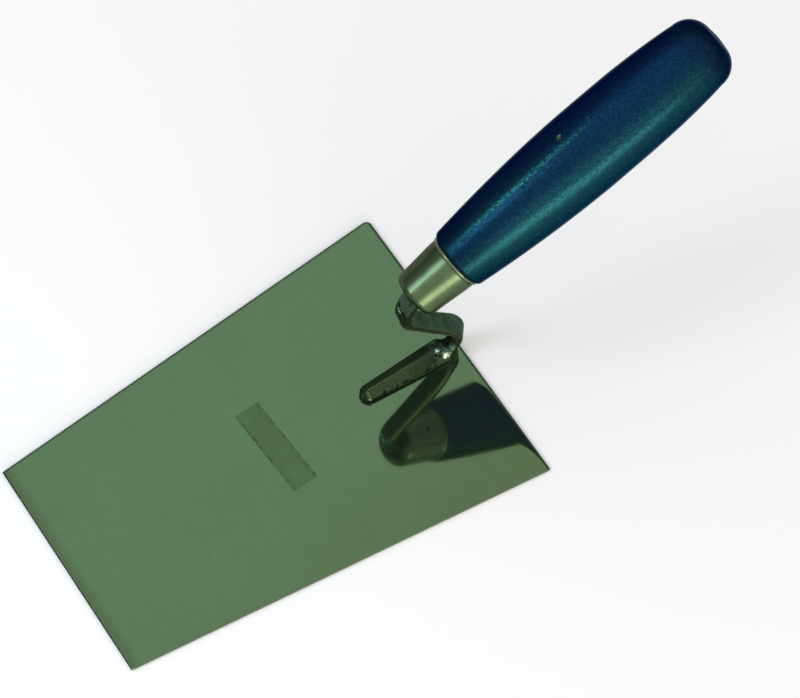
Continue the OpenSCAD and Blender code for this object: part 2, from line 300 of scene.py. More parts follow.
# The blade's coat from cloud to cloud, what tints it, its rear burr with painted shade, its cut side walls
# painted dark as shade, and the wall towards +Y painted lighter as if lit
COAT = [(0.3, (0.104, 0.189, 0.0985)), (0.7, (0.11, 0.201, 0.1045))]
WARM_TINT = (0.95, 0.82, 0.74)
GRIME_TINT = (0.8, 0.7, 0.68)
BURR_AND_REFLECTION_SHADE = (0.034, 0.07, 0.039)
CUT_WALL_PAINTED_SHADE = (0.014, 0.021, 0.014)
LIT_WALL_PAINTED_LIGHT = (0.13, 0.16, 0.085)


def blade_material():
    mat = Shader("blade_steel", {"Metallic": 0.92, "Specular IOR Level": 0})
    place = mat.coords()
    colour = mat.ramp(mat.noise(place, 22, detail=3), COAT)
    slant = mat.vector_math("DOT_PRODUCT", place, WARM_WAY)["Value"]
    colour = mat.tint(mat.between(slant, *WARM_SPAN), colour, WARM_TINT)
    along = mat.split(place)["X"]
    fore = mat.between(along, FRONT_X - GRIME_W, FRONT_X)
    colour = mat.tint(fore, colour, GRIME_TINT)
    # A dark burr along the rear edge, darkened further as painted shade for the handle's dark reflection
    # there
    aft = mat.between(along, REAR_X + BURR_W, REAR_X + BURR_W / 2)
    colour = mat.blend(aft, colour, BURR_AND_REFLECTION_SHADE)
    fleck = mat.noise(place, 420, detail=3)
    colour = mat.tint(1, colour, mat.ramp(fleck, [(0.3, 0.97), (0.7, 1.03)]))
    facing = mat.facing()
    polished = mat.within(mat.math("ABSOLUTE", facing["Z"]), 0.7, 0.85)
    # Side walls: painted dark as shade, and the one facing +Y painted lighter as if lit
    sides = mat.blend(mat.within(facing["Y"], 0.5, 0.9), CUT_WALL_PAINTED_SHADE, LIT_WALL_PAINTED_LIGHT)
    colour = mat.blend(polished, sides, colour)
    brushed = mat.noise(mat.scaled(place, (60, 2200, 1), (0, 0, 0.35)), 1, detail=2)
    haze = mat.noise(place, 90, detail=5)
    roughness = mat.blend(polished, (0.4, 0.4, 0.4), mat.ramp(haze, [(0.35, 0.04), (0.7, 0.065)]))
    return mat.finish(colour, roughness, mat.bump(brushed, 0.006, 0.02))


# Tint of the sheen of the neck and the weld
STEEL_SHEEN = (0.45, 0.5, 0.47, 1)
# The neck's smooth bar, the bar's side towards +Y painted lighter as if lit, the scale of the foot, what
# tints them (towards the heel, and a painted reflection on the underside), painted highlights on the bar's
# lower near edge and on the foot's ridge and near edge, and the marks
SMOOTH_BAR = [(0.32, (0.03, 0.046, 0.028)), (0.5, (0.046, 0.077, 0.049)), (0.66, (0.062, 0.104, 0.078))]
LIT_BAR_SIDE = [(0.32, (0.043, 0.06, 0.031)), (0.68, (0.068, 0.092, 0.048))]
FOOT_SCALE = [(0.34, (0.016, 0.026, 0.013)), (0.5, (0.032, 0.053, 0.0245)), (0.68, (0.047, 0.079, 0.035))]
HEEL_TINT = (0.62, 0.56, 0.66)
DOWN_REFLECTION_TINT = (1.15, 0.85, 1.7)
LOW_EDGE_HIGHLIGHT = (0.24, 0.23, 0.15)
RIDGE_HIGHLIGHT = (0.1, 0.14, 0.072)
FOOT_EDGE_HIGHLIGHT = (0.09, 0.115, 0.06)
TICK_SHADE = (0.006, 0.008, 0.006)
PIT_SHADE = (0.012, 0.018, 0.012)


def forged_material():
    mat = Shader("forged_steel", {"Metallic": 0.75, "Specular IOR Level": 0, "Specular Tint": STEEL_SHEEN})
    place = mat.coords()
    at = mat.split(place)
    face = mat.facing()
    foot = mat.times(mat.between(at["Z"], *FOOT_TOP), mat.between(at["X"], *SCALE_SPAN))
    above = mat.math("SUBTRACT", 1, foot)
    mottle = mat.noise(place, 130, detail=6, roughness=0.62, distortion=0.3)
    scale = mat.noise(place, 1700, detail=4, roughness=0.7)
    dim = mat.between(at["X"], *DIM_SPAN)
    scaled = mat.tint(dim, mat.ramp(scale, FOOT_SCALE), HEEL_TINT)
    colour = mat.blend(foot, mat.ramp(mottle, SMOOTH_BAR), scaled)
    # The side towards +Y is painted lighter as if lit
    side = mat.times(mat.within(face["Y"], 0.7, 0.93), above)
    colour = mat.blend(side, colour, mat.ramp(mottle, LIT_BAR_SIDE))
    # Faces turned down get a bluer tint, a painted reflection
    down_reflection = mat.times(mat.within(face["Z"], -0.05, -0.35), above)
    colour = mat.tint(down_reflection, colour, DOWN_REFLECTION_TINT)
    # A painted highlight along the bar's lower near edge
    low = mat.times(mat.within(face["Z"], -0.1, -0.35), mat.within(face["Y"], 0.3, 0.6), above)
    colour = mat.blend(low, colour, LOW_EDGE_HIGHLIGHT)
    # Painted highlights along the foot's ridge and its near edge, broken up by the scale
    highlight_breakup = mat.ramp(scale, [(0.36, 0.3), (0.5, 1)])
    ridge_highlight = mat.times(mat.within(face["Z"], 0.968, 0.99), foot, highlight_breakup)
    colour = mat.blend(ridge_highlight, colour, RIDGE_HIGHLIGHT)
    near_edge_highlight = mat.times(mat.within(face["Y"], 0.955, 0.985), foot, highlight_breakup)
    colour = mat.blend(near_edge_highlight, colour, FOOT_EDGE_HIGHLIGHT)
    strokes = mat.noise(mat.scaled(place, (750, 70, 70)), 1, detail=1)
    ticks = mat.times(mat.within(face["Y"], 0.5, 0.7), foot,
                      mat.between(at["Z"], TICK_TOP, TICK_TOP - TICK_FADE),
                      mat.ramp(strokes, [(0.38, 0.9), (0.45, 0)]))
    colour = mat.blend(ticks, colour, TICK_SHADE)
    pits = mat.ramp(mat.noise(place, 800, detail=3), [(0.29, 0), (0.36, 1)])
    colour = mat.blend(pits, PIT_SHADE, colour)
    uneven = mat.ramp(mat.noise(place, 1300, detail=3), [(0.38, 0), (0.5, 1)])
    # Spots of painted highlight and painted shade
    for centre, radius, shade in PAINTED_SPOTS:
        colour = mat.blend(mat.times(mat.near(place, centre, radius), uneven), colour, shade)
    fine = mat.ramp(mat.noise(place, 420, detail=4), [(0.3, 0.12), (0.75, 0.24)])
    fine = mat.blend(side, fine, (0.1, 0.1, 0.1))
    roughness = mat.blend(foot, fine, mat.ramp(scale, [(0.3, 0.3), (0.7, 0.42)]))
    relief = mat.blend(foot, mottle, scale)
    under = mat.bump(pits, 0.25, 0.06)
    return mat.finish(colour, roughness, mat.bump(relief, 0.09, 0.14, under))


def weld_material():
    mat = Shader("weld_steel", {"Metallic": 1, "Specular Tint": STEEL_SHEEN})
    scale = mat.noise(mat.coords(), 700, detail=5)
    colour = mat.ramp(scale, [(0.3, (0.02, 0.028, 0.02)), (0.7, (0.05, 0.068, 0.048))])
    roughness = mat.ramp(scale, [(0.3, 0.25), (0.7, 0.42)])
    return mat.finish(colour, roughness, mat.bump(scale, 0.25, 0.12))


# The ferrule's plating, and its darker staking mark and lip, and its bead brightened as a painted highlight
PLATING = [(0.3, (0.081, 0.119, 0.059)), (0.65, (0.097, 0.14, 0.072))]
STAKE_SHADE = (0.02, 0.03, 0.02)
LIP_SHADE = (0.02, 0.03, 0.016)
BEAD_HIGHLIGHT = (0.15, 0.19, 0.11)
# How far the mark and the lip go towards their shades, and how much of the mark's radius is dark
STAKE_DARK = 0.8
LIP_DARK = 0.45
STAKE_CORE = 0.7
# Places along the axis between which the lip and the bead take on their shades
LIP_SPAN = (2.4 - FERRULE_L, 1.2 - FERRULE_L)
BEAD_SPAN = (-BEAD_W - 0.2, -BEAD_W)


def ferrule_material():
    mat = Shader("ferrule_metal", {"Metallic": 1, "Specular Tint": (0.6, 0.6, 0.57, 1)})
    place = mat.coords()
    turn, along = axis_coords(mat)
    lines = mat.noise(unrolled(mat, turn, along, 14, 25), 1, detail=4)
    colour = mat.ramp(mat.noise(place, 240, detail=5), PLATING)
    # Painted highlights, shade and reflection round the axis
    colour = mat.tint(1, colour, by_turn(mat, turn, FERRULE_LIGHT_BY_TURN))
    stake = turned_point(ferrule_r(-STAKE_BACK), -STAKE_BACK, STAKE_TURN)
    mark = mat.near(place, stake, STAKE_R * STAKE_CORE)
    colour = mat.blend(mat.times(mark, STAKE_DARK), colour, STAKE_SHADE)
    lip = mat.between(along, *LIP_SPAN)
    colour = mat.blend(mat.times(lip, LIP_DARK), colour, LIP_SHADE)
    # The bead is brightened as a painted highlight
    bead = mat.between(along, *BEAD_SPAN)
    colour = mat.blend(bead, colour, BEAD_HIGHLIGHT)
    roughness = mat.ramp(lines, [(0.3, 0.24), (0.7, 0.33)])
    roughness = mat.blend(bead, roughness, (0.17, 0.17, 0.17))
    return mat.finish(colour, roughness, mat.bump(lines, 0.1, 0.06))


# The handle's worn line with its painted highlight, its end in painted shade, the pores of its grain and the
# bare wood in its chips
WEAR_AND_HIGHLIGHT_SHADE = (0.0135, 0.1, 0.108)
END_PAINTED_SHADE = (0.005, 0.017, 0.044)
PORE_SHADE = (0.002, 0.01, 0.026)
CHIP_SHADE = (0.09, 0.14, 0.06)


def handle_material():
    mat = Shader("lacquered_wood", {"Metallic": 0.75, "Specular IOR Level": 0,
                                    "Specular Tint": (0.35, 0.4, 0.45, 1)})
    place = mat.coords()
    turn, along = axis_coords(mat)
    grained = unrolled(mat, turn, along, 30, 260)
    grain = mat.noise(grained, 1, detail=5, roughness=0.6, distortion=0.4)
    pores = mat.ramp(mat.noise(grained, 2.4, detail=3), [(0.32, 0), (0.42, 1)])
    speckle = mat.noise(unrolled(mat, turn, along, 27, 750), 1, detail=3, roughness=0.6)
    rearward = mat.between(along, *LACQUER_SPAN)
    # Lacquer with painted highlights, painted shade and a painted reflection round the axis
    colour = mat.blend(rearward, by_turn(mat, turn, FRONT_LACQUER_AND_LIGHT), by_turn(mat, turn, REAR_LACQUER_AND_LIGHT))
    off_line = mat.math("ABSOLUTE", mat.math("SUBTRACT", turn, WEAR_TURN))
    started = mat.between(along, 0, WEAR_START)
    # A worn line along the top, brightened as a painted highlight
    wear_and_highlight = mat.times(mat.within(off_line, WEAR_HALF, WEAR_HALF * WEAR_CORE), mat.between(along, *WEAR_END),
                     started, mat.ramp(speckle, [(0.4, 0.1), (0.56, 1)]))
    colour = mat.blend(wear_and_highlight, colour, WEAR_AND_HIGHLIGHT_SHADE)
    colour = mat.tint(1, colour, mat.ramp(started, [(0, 0.76), (1, 1)]))
    # The end is darkened as painted shade
    end = mat.between(along, END_START - END_FADE, END_START + END_FADE)
    colour = mat.blend(end, colour, END_PAINTED_SHADE)
    colour = mat.tint(1, colour, mat.ramp(grain, [(0.3, 0.8), (0.7, 1.2)]))
    colour = mat.tint(1, colour, mat.ramp(speckle, [(0.36, 0.64), (0.64, 1.38)]))
    colour = mat.blend(pores, PORE_SHADE, colour)
    rough_edge = mat.ramp(speckle, [(0.44, 0), (0.52, 1)])
    for centre, radius in CHIPS:
        colour = mat.blend(mat.times(mat.near(place, centre, radius), rough_edge), colour, CHIP_SHADE)
    roughness = mat.ramp(grain, [(0.3, 0.19), (0.7, 0.27)])
    under = mat.bump(pores, 0.3, 0.08)
    under = mat.bump(speckle, 0.25, 0.1, under)
    return mat.finish(colour, roughness, mat.bump(grain, 0.2, 0.1, under))


# The label's film, and the grime along its long edges and on its rim
FILM = [(0.3, (0.055, 0.111, 0.043)), (0.5, (0.063, 0.126, 0.05)), (0.72, (0.069, 0.136, 0.057))]
LABEL_GRIME_SHADE = (0.028, 0.045, 0.016)
LABEL_RIM_SHADE = (0.035, 0.05, 0.018)
# Distances from the label's middle line between which they set in
LABEL_GRIME_SPAN = (LABEL_W / 2 - 2, LABEL_W / 2)
LABEL_RIM_SPAN = (LABEL_W / 2 - 0.45, LABEL_W / 2 - 0.2)


def label_material():
    mat = Shader("label_film", {"IOR": 1.45, "Specular IOR Level": 0.3})
    place = mat.coords()
    stain = mat.noise(place, 220, detail=6, roughness=0.65)
    colour = mat.ramp(stain, FILM)
    moved = mat.vector_math("SUBTRACT", place, LABEL_AT * MM)[0]
    flat = mat.node("VectorRotate", {"Vector": moved, "Axis": (0, 0, 1), "Angle": -LABEL_TURN})
    reach = mat.math("ABSOLUTE", mat.split(flat.outputs[0])["X"])
    edge = mat.between(reach, *LABEL_GRIME_SPAN)
    grime = mat.ramp(mat.noise(place, 450, detail=5, roughness=0.7), [(0.48, 0), (0.6, 0.9)])
    colour = mat.blend(mat.times(edge, grime), colour, LABEL_GRIME_SHADE)
    rim = mat.between(reach, *LABEL_RIM_SPAN)
    broken = mat.ramp(mat.noise(place, 260, detail=3), [(0.45, 0), (0.55, 0.7)])
    colour = mat.blend(mat.times(rim, broken), colour, LABEL_RIM_SHADE)
    crease = mat.noise(mat.scaled(place, (900, 120, 1), (0, 0, 0.5)), 1, detail=4)
    roughness = mat.ramp(stain, [(0.3, 0.5), (0.7, 0.38)])
    return mat.finish(colour, roughness, mat.bump(crease, 0.2, 0.08))


def added(name, data):
    """A new object in the scene with a mesh, a lamp or a camera."""
    made = bpy.data.objects.new(name, data)
    bpy.context.collection.objects.link(made)
    return made


def piece(name, points, faces, node, material, sharp=40):
    """A piece from points in millimetres that stands for a node of the solids."""
    mesh = bpy.data.meshes.new(name)
    mesh.from_pydata([Vector(p) * MM for p in points], [], faces)
    shape = bmesh.new()
    shape.from_mesh(mesh)
    bmesh.ops.recalc_face_normals(shape, faces=shape.faces)
    shape.to_mesh(mesh)
    shape.free()
    mesh.shade_smooth()
    mesh.set_sharp_from_angle(angle=radians(sharp))
    mesh.materials.append(material)
    made = added(name, mesh)
    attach(made, "root")
    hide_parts(node)


def bands(rings, close=False):
    """Points of rings of equal length and the faces from ring to ring, closed in a loop if asked."""
    n = len(rings[0])
    points = [p for ring in rings for p in ring]
    faces = []
    for i in range(len(rings) if close else len(rings) - 1):
        a = i * n
        b = (i + 1) % len(rings) * n
        faces += [(a + k, a + (k + 1) % n, b + (k + 1) % n, b + k) for k in range(n)]
    return points, faces


def capped(rings):
    """Points and faces of a tube through rings, with a fan at each end."""
    points, faces = bands(rings)
    n = len(rings[0])
    for start, ring in ((0, rings[0]), (len(points) - n, rings[-1])):
        points.append(sum((Vector(p) for p in ring), Vector()) / n)
        faces += [(start + k, start + (k + 1) % n, len(points) - 1) for k in range(n)]
    return points, faces


def displaced(points, faces, height):
    """Moves each point along its normal by a height in millimetres, given for its place."""
    shape = bmesh.new()
    made = [shape.verts.new(p) for p in points]
    for face in faces:
        shape.faces.new([made[i] for i in face])
    bmesh.ops.recalc_face_normals(shape, faces=shape.faces)
    shape.normal_update()
    moved = [v.co + v.normal * height(v.co, v.normal) for v in made]
    shape.free()
    return moved


# Blade
SLANT = atan2((BLADE_REAR_W - BLADE_FRONT_W) / 2, FRONT_X - REAR_X)
SIDE_TURN = pi / 2 - SLANT
EDGE_STEP = 2
ARC_STEPS = 8
LEAST_R = 0.05
LOW_EDGE_STEPS = 4
# How far inside the outline the rings of the underside and of the top lie
UNDER_INSETS = (6, 2)
TOP_INSETS = (0, 0.08, 0.17, 0.25, 0.33, 0.4, 0.45, 0.48, 0.7, 1, 1.3, 1.6, 2, 2.4, 2.8, 3.2, 3.6,
              4, 4.4, 4.8, 6)


def side_y(x):
    return BLADE_REAR_W / 2 - (x - REAR_X) * tan(SLANT)


def blade_ring(inset, z):
    """The blade's outline set in by an inset, with points every few millimetres."""
    r = max(LEAST_R, CORNER_R - inset)
    far_r = max(LEAST_R, REAR_CORNER_R - inset)
    front = FRONT_X - inset - r
    rear = REAR_X + inset + r
    far_rear = REAR_X + inset + far_r

    def centre_y(x, radius):
        return side_y(x) - (inset + radius) / cos(SLANT)

    corners = [(front, centre_y(front, r), r, 0, SIDE_TURN),
               (rear, centre_y(rear, r), r, SIDE_TURN, pi),
               (far_rear, -centre_y(far_rear, far_r), far_r, pi, 2 * pi - SIDE_TURN),
               (front, -centre_y(front, r), r, 2 * pi - SIDE_TURN, 2 * pi)]
    edges = [FRONT_X - REAR_X, BLADE_REAR_W, FRONT_X - REAR_X, BLADE_FRONT_W]
    ring = []
    for i, (x, y, radius, a0, a1) in enumerate(corners):
        turns = [mix(a0, a1, k / ARC_STEPS) for k in range(ARC_STEPS + 1)]
        ring += [(x + radius * cos(a), y + radius * sin(a)) for a in turns]
        nx, ny, next_r, a, _ = corners[(i + 1) % 4]
        start = Vector(ring[-1])
        end = Vector((nx + next_r * cos(a), ny + next_r * sin(a)))
        steps = round(edges[i] / EDGE_STEP)
        ring += [tuple(start.lerp(end, k / steps)) for k in range(1, steps)]
    return [(x, y, z(x, y)) for x, y in ring]


def roll_off(x, y):
    """How far the polished top falls towards the edges at a place on the blade."""
    away = {"rear": x - REAR_X, "far": (side_y(x) + y) * cos(SLANT), "front": FRONT_X - x}
    return sum(depth * max(0, 1 - away[edge] / width) ** power
               for edge, falls in ROLL_OFF.items() for width, depth, power in falls)


def make_blade():
    rings = [blade_ring(inset, lambda x, y: 0) for inset in UNDER_INSETS]
    for k in range(LOW_EDGE_STEPS + 1):
        a = k * pi / 2 / LOW_EDGE_STEPS
        rings.append(blade_ring(LOW_EDGE_R * (1 - sin(a)), lambda x, y, a=a: LOW_EDGE_R * (1 - cos(a))))
    for inset in TOP_INSETS:
        rings.append(blade_ring(inset, lambda x, y: BLADE_T - roll_off(x, y)))
    n = len(rings[0])
    points, faces = bands(rings)
    faces.append(tuple(range(n)))
    faces.append(tuple(range(len(points) - n, len(points))))
    piece("polished_blade", points, faces, "blade", blade_material(), sharp=60)


# Neck: its bends in its own plane
FOOT_Z = BLADE_T + FOOT_H
SWEEP_DIR = Vector((cos(SWEEP_ANGLE), sin(SWEEP_ANGLE)))
AXIS_DIR = Vector((-cos(TILT), sin(TILT)))
REAR_TURN = pi - SWEEP_ANGLE
FRONT_TURN = pi - TILT - SWEEP_ANGLE
ROOT = Vector((REAR_X - SWEEP_ROOT, FOOT_Z))
CROWN = ROOT + SWEEP_DIR * CROWN_H / sin(SWEEP_ANGLE)
FRONT_LEG = FRONT_BEND_R * tan(FRONT_TURN / 2)
EASE_TURN = EASE_FROM * REAR_TURN
REAR_AHEAD = REAR_BEND_R * sin(EASE_TURN) + REAR_EASE_R * (sin(REAR_TURN) - sin(EASE_TURN))
REAR_ASIDE = REAR_BEND_R * (1 - cos(EASE_TURN)) + REAR_EASE_R * (cos(EASE_TURN) - cos(REAR_TURN))
HEEL = ROOT + Vector((REAR_AHEAD - REAR_ASIDE / tan(REAR_TURN), 0))
SWEEP_START = ROOT + SWEEP_DIR * REAR_ASIDE / sin(REAR_TURN)
SWEEP_END = CROWN - SWEEP_DIR * FRONT_LEG
BEND_END = CROWN + AXIS_DIR * FRONT_LEG
TOE_X = REAR_X + FOOT_REACH
FOOT_FRONT_X = TOE_X - TOE_ROUND
SPIGOT_SHORT = FERRULE_LIP_R + SPIGOT_GAP
BEND_TUCK = SPIGOT_SHORT - TANG_LEAD
FERRULE_FRONT = BEND_END - AXIS_DIR * BEND_TUCK
RIM_XZ = FERRULE_FRONT + AXIS_DIR * FERRULE_L
RIM = Vector((RIM_XZ.x, NECK_Y, RIM_XZ.y))

# Rings along each stretch of the neck, and points in each rounded edge and flat side of a ring
TOE_RINGS = 18
FOOT_RINGS = 150
REAR_RINGS = 140
SWEEP_RINGS = 60
FRONT_RINGS = 90
TANG_RINGS = 10
EDGE_POINTS = 9
SIDE_POINTS = 9


def shrunk(bar, k):
    return (bar[0] * k, bar[1] * k, bar[2], bar[3] * k)


def edge_reach(bar):
    """Farthest reach of a bar's rounded edges from its centre line."""
    thick, wide, _, r = bar
    return hypot(thick / 2 - r, wide / 2 - r) + r


def foot_bar(x):
    side = mix(FOOT_HEEL, FOOT_TOE, (x - HEEL.x) / (TOE_X - HEEL.x))
    return (side, side, FOOT_ROLL, FOOT_EDGE_R)


def tang_bar(back):
    return shrunk(BEND_BAR, mix(1, TANG_TIP / BEND_BAR[1], (back - BEND_TUCK) / (TANG_L - BEND_TUCK)))


def on_bend(start, heading, radius, turn, hand):
    """A point on a bend, after turning by a turn to one side, hand +1 or -1."""
    ahead = Vector((cos(heading), sin(heading)))
    aside = Vector((-sin(heading), cos(heading)))
    return start + radius * (sin(turn) * ahead + hand * (1 - cos(turn)) * aside)


def on_rear_bend(turn):
    """A point on the rear bend after a turn: a tight bend, then a wide one."""
    if turn < EASE_TURN:
        return on_bend(HEEL, pi, REAR_BEND_R, turn, -1)
    ease_start = on_bend(HEEL, pi, REAR_BEND_R, EASE_TURN, -1)
    return on_bend(ease_start, pi - EASE_TURN, REAR_EASE_R, turn - EASE_TURN, -1)


def rear_along(turn):
    """Distance along the neck from the heel to a turn of the rear bend."""
    return REAR_BEND_R * min(turn, EASE_TURN) + REAR_EASE_R * max(0, turn - EASE_TURN)


def twisted(bar, along):
    """A bar turned into the sweep's, as far as a distance along the neck asks for."""
    share = (along / rear_along(REAR_TURN) - TWIST_FROM) / (TWIST_TO - TWIST_FROM)
    return mix_bar(bar, SWEEP_BAR, smooth(share))


def neck_stations():
    """Each station is its centre (x, z), its heading over +X and its bar."""
    stations = []
    for i in range(1, TOE_RINGS + 1):
        t = (i / TOE_RINGS) ** 2
        x = mix(TOE_X, FOOT_FRONT_X, t)
        full = sqrt(1 - (1 - t) ** 2)
        stations.append((Vector((x, BLADE_T + FOOT_H * full)), pi, shrunk(foot_bar(x), full)))
    for i in range(1, FOOT_RINGS + 1):
        x = mix(FOOT_FRONT_X, HEEL.x, i / FOOT_RINGS)
        stations.append((Vector((x, FOOT_Z)), pi, foot_bar(x)))
    for i in range(1, REAR_RINGS + 1):
        turn = REAR_TURN * i / REAR_RINGS
        bar = mix_bar(foot_bar(HEEL.x), REAR_BAR, smooth(i / REAR_RINGS / FLATTEN_TO))
        stations.append((on_rear_bend(turn), pi - turn, twisted(bar, rear_along(turn))))
    for i in range(1, SWEEP_RINGS):
        t = i / SWEEP_RINGS
        at = SWEEP_START.lerp(SWEEP_END, t)
        along = rear_along(REAR_TURN) + (at - SWEEP_START).length
        stations.append((at, SWEEP_ANGLE, mix_bar(twisted(REAR_BAR, along), BEND_BAR, t)))
    for i in range(FRONT_RINGS + 1):
        turn = FRONT_TURN * i / FRONT_RINGS
        at = on_bend(SWEEP_END, SWEEP_ANGLE, FRONT_BEND_R, turn, 1)
        stations.append((at, SWEEP_ANGLE + turn, BEND_BAR))
    for i in range(1, TANG_RINGS + 1):
        back = mix(BEND_TUCK, TANG_L, i / TANG_RINGS)
        stations.append((FERRULE_FRONT + AXIS_DIR * back, pi - TILT, tang_bar(back)))
    return stations


def land(station):
    """The near and far end of the flat that the blade leaves of a station's lowest edge, and its depth."""
    at, heading, (thick, wide, roll, _) = station
    c = cos(radians(roll))
    s = sin(radians(roll))
    lean = pi - heading
    sink = (thick * s + wide * c) / 2 - (at.y - BLADE_T) / cos(lean) if lean < LAND_LEAN else 0
    return Vector((thick / 2, sink / c - wide / 2)), Vector((thick / 2 - sink / s, -wide / 2)), sink


def section(station):
    """A station's outline in the bar's own square axes."""
    thick, wide, roll, r = station[2]
    corners = []
    for px, py, a0 in ((1, 1, 0), (-1, 1, 90), (-1, -1, 180), (1, -1, 270)):
        turns = [radians(a0 + 90 * k / (EDGE_POINTS - 1)) for k in range(EDGE_POINTS)]
        corners.append([Vector((px * (thick / 2 - r) + r * cos(a), py * (wide / 2 - r) + r * sin(a)))
                        for a in turns])
    near, far, sink = land(station)
    if sink > r * min(cos(radians(roll)), sin(radians(roll))):
        corners[3] = [far.lerp(near, k / (EDGE_POINTS - 1)) for k in range(EDGE_POINTS)]
    ring = []
    for i, corner in enumerate(corners):
        ring += corner
        start = corner[-1]
        end = corners[(i + 1) % 4][0]
        ring += [start.lerp(end, k / (SIDE_POINTS + 1)) for k in range(1, SIDE_POINTS + 1)]
    return ring


def placed(station, q):
    """A point of a section, turned by the bar's roll and set at its station, on or above the blade."""
    at, heading, bar = station
    c = cos(radians(bar[2]))
    s = sin(radians(bar[2]))
    side = q.x * c + q.y * s
    over = q.y * c - q.x * s
    return Vector((at.x + over * sin(heading), NECK_Y + side, max(BLADE_T, at.y - over * cos(heading))))


# Marks of the forging on the neck, as (place, radius, height): beads of scale, then pits
NECK_MARKS = [((-79.6, 1.2, 9.0), 1.3, 0.6), ((-82.9, 3.9, 6.6), 2.0, 0.6), ((-75.3, 4.6, 5.0), 0.6, 0.25),
              ((-75.9, -1.8, 7.2), 0.5, 0.2), ((-76.5, -0.7, 8.0), 0.5, 0.2), ((-46.1, 3.6, 3.9), 0.5, 0.2),
              ((-84.3, -2.0, 5.2), 0.9, -0.4), ((-83.6, 1.6, 7.7), 0.7, -0.25)]
# Spots of painted highlight and of painted shade on the neck, as (place, radius, colour)
PAINTED_HIGHLIGHT = (0.32, 0.4, 0.28)
BLUE_HIGHLIGHT = (0.24, 0.44, 0.44)
WHITE_HIGHLIGHT = (0.78, 0.98, 0.9)
PAINTED_SHADE = (0.007, 0.008, 0.012)
PAINTED_SPOTS = [((-84.8, -1.6, 5.6), 3.0, PAINTED_SHADE), ((-81.7, -2.0, 7.2), 1.3, PAINTED_SHADE), ((-78.6, -2.0, 7.1), 0.9, PAINTED_SHADE),
         ((-77.4, 2.6, 7.7), 0.6, PAINTED_SHADE), ((-79.2, 3.3, 7.0), 0.7, PAINTED_SHADE), ((-76.4, 3.8, 6.2), 0.5, PAINTED_SHADE),
         ((-81.6, 4.2, 6.0), 0.9, PAINTED_HIGHLIGHT), ((-80.6, 4.4, 5.6), 0.5, PAINTED_HIGHLIGHT), ((-45.8, 3.6, 4.0), 0.4, PAINTED_HIGHLIGHT),
         ((-46.7, 3.7, 3.7), 0.4, PAINTED_HIGHLIGHT), ((-44.3, 0.6, 5.0), 0.35, PAINTED_HIGHLIGHT), ((-44.2, 1.2, 4.4), 0.3, PAINTED_HIGHLIGHT),
         ((-78.3, 1.3, 9.0), 0.5, BLUE_HIGHLIGHT), ((-79.0, 1.7, 8.8), 0.4, BLUE_HIGHLIGHT),
         ((-58.15, -0.9, 64.4), 0.35, WHITE_HIGHLIGHT), ((-57.85, 0.1, 64.2), 0.45, WHITE_HIGHLIGHT),
         ((-57.75, 0.8, 64.3), 0.4, WHITE_HIGHLIGHT), ((-57.75, 1.5, 64.7), 0.3, BLUE_HIGHLIGHT),
         ((-58.06, -1.4, 57.2), 0.5, WHITE_HIGHLIGHT), ((-57.8, -0.4, 57.8), 0.5, BLUE_HIGHLIGHT),
         ((-57.6, 0.8, 58.0), 0.6, WHITE_HIGHLIGHT), ((-58.2, 2.6, 65.2), 0.9, PAINTED_SHADE), ((-58.6, -1.4, 66.4), 0.7, PAINTED_SHADE)]
# Heights and places along X between which the smooth bar gives way to the scale of the foot
FOOT_TOP = (11, 7.5)
SCALE_SPAN = (-79, -75.5)
# Places along X between which the scale of the foot darkens towards the heel
DIM_SPAN = (-62, -76)
# Height up to which ticks of the press mark the foot's near face, and over which they set in below it
TICK_TOP = 5.2
TICK_FADE = 0.6
# Press marks across the foot's near face: the first one's place, their spacing, count, width and depth, their
# top and the height over which they set in below it, and how squarely the face has to lie towards +Y
PRESS_X = -67.7
PRESS_STEP = 2.87
PRESS_COUNT = 5
PRESS_W = 0.22
PRESS_DEPTH = 0.14
PRESS_TOP = 4.9
PRESS_FADE = 0.8
PRESS_FACING = 0.5
# Lumps inside the rear bend: their size and height, how far ahead of the heel they start and over what length
# they set in, and the height over which they fade at the top
LUMP_STEP = 1.6
LUMP_H = 0.22
LUMP_AHEAD = 2
LUMP_START = 3
LUMP_FADE = 6
# Unevenness of the forged bar
FORGED_STEP = 6
FORGED_H = 0.035
# All marks set in over a rise that starts a little above the blade, and high up they fade towards the ferrule
MARKS_CLEAR = 0.3
MARKS_RISE = 1.5
MARKS_UNDER = 12
MARKS_FADE = 4


def forging(point, normal):
    """Height of the forging marks at a place on the neck."""
    over_blade = smooth((point.z - BLADE_T - MARKS_CLEAR) / MARKS_RISE)
    high = point.z > FERRULE_FRONT.y - MARKS_UNDER
    before_ferrule = smooth((point.x - FERRULE_FRONT.x) / MARKS_FADE) if high else 1
    height = FORGED_H * noise.noise(point / FORGED_STEP)
    centre = Vector((HEEL.x, 0, FOOT_Z + REAR_BEND_R))
    inward = Vector((centre.x - point.x, 0, centre.z - point.z))
    facing = max(0, normal.dot(inward.normalized()))
    behind = smooth((HEEL.x + LUMP_AHEAD - point.x) / LUMP_START)
    in_bend = behind * smooth((FOOT_Z + 2 * REAR_BEND_R - point.z) / LUMP_FADE)
    height += LUMP_H * facing ** 2 * in_bend * noise.noise(point / LUMP_STEP)
    height += sum(h * bump_at(point, at, r) for at, r, h in NECK_MARKS)
    if normal.y > PRESS_FACING and point.x > HEEL.x:
        for k in range(PRESS_COUNT):
            across = (point.x - PRESS_X - k * PRESS_STEP) / PRESS_W
            height -= PRESS_DEPTH * exp(-across ** 2) * smooth((PRESS_TOP - point.z) / PRESS_FADE)
    return height * over_blade * before_ferrule


def make_neck():
    rings = [[placed(st, q) for q in section(st)] for st in neck_stations()]
    points, faces = capped(rings)
    points = displaced(points, faces, forging)
    piece("forged_neck", points, faces, "neck", forged_material())


